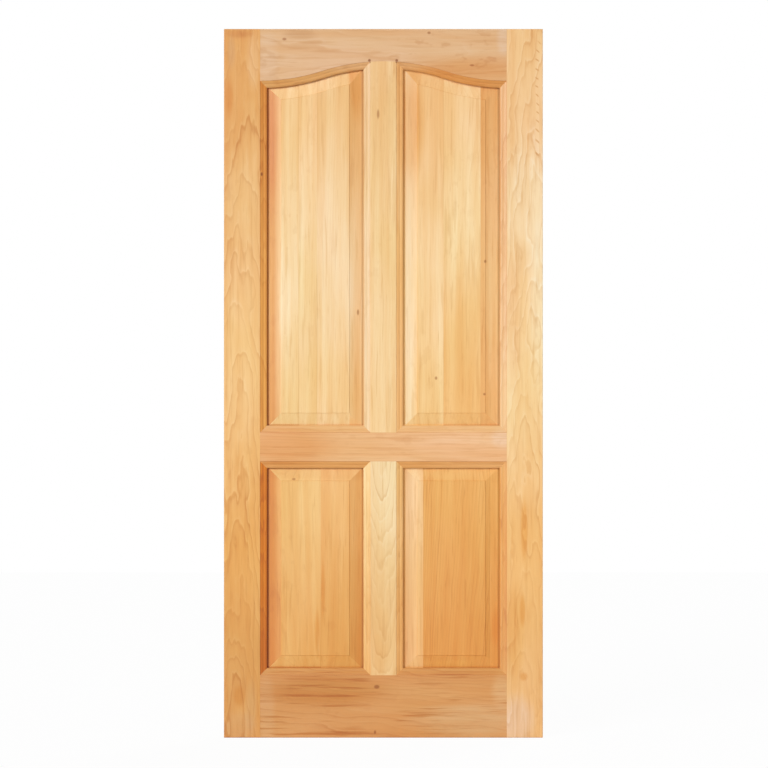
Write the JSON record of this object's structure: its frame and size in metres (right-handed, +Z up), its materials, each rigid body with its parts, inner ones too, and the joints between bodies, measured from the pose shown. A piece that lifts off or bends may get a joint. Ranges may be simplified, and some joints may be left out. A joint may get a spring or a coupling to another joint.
{
  "type": "panelled front door leaf",
  "caption": "Solid softwood front door leaf with raised panels, a moulded frame and an arched top rail over the upper panels; hung by one upright edge to close a doorway.",
  "frame": {"origin": "middle of the leaf's width and thickness, at its bottom edge", "axes": "+X across the leaf to the pictured front's right, +Y through the thickness from the front face to the back face, +Z up"},
  "size_m": [0.9144, 0.0444, 2.032],
  "materials": {
    "stile_wood": "clear satin varnish over honey-coloured softwood, upright straight and flat-sawn grain",
    "rail_wood": "clear satin varnish over honey-coloured softwood, level grain",
    "mullion_wood": "clear satin varnish over honey-coloured softwood, pale upright grain",
    "panel_wood": "clear satin varnish over honey-coloured softwood, upright boards glued edge to edge"
  },
  "bodies": {
    "root": {"bottom_rail": "rail_wood", "left_stile": "stile_wood", "lock_rail": "rail_wood", "lower_left_board_1": "panel_wood", "lower_left_board_2": "panel_wood", "lower_mullion": "mullion_wood", "lower_right_board_1": "panel_wood", "lower_right_board_2": "panel_wood", "lower_right_board_3": "panel_wood", "right_stile": "stile_wood", "top_rail": "rail_wood", "upper_left_board_1": "panel_wood", "upper_left_board_2": "panel_wood", "upper_left_board_3": "panel_wood", "upper_mullion": "mullion_wood", "upper_right_board_1": "panel_wood", "upper_right_board_2": "panel_wood", "upper_right_board_3": "panel_wood"}
  },
  "joints": []
}
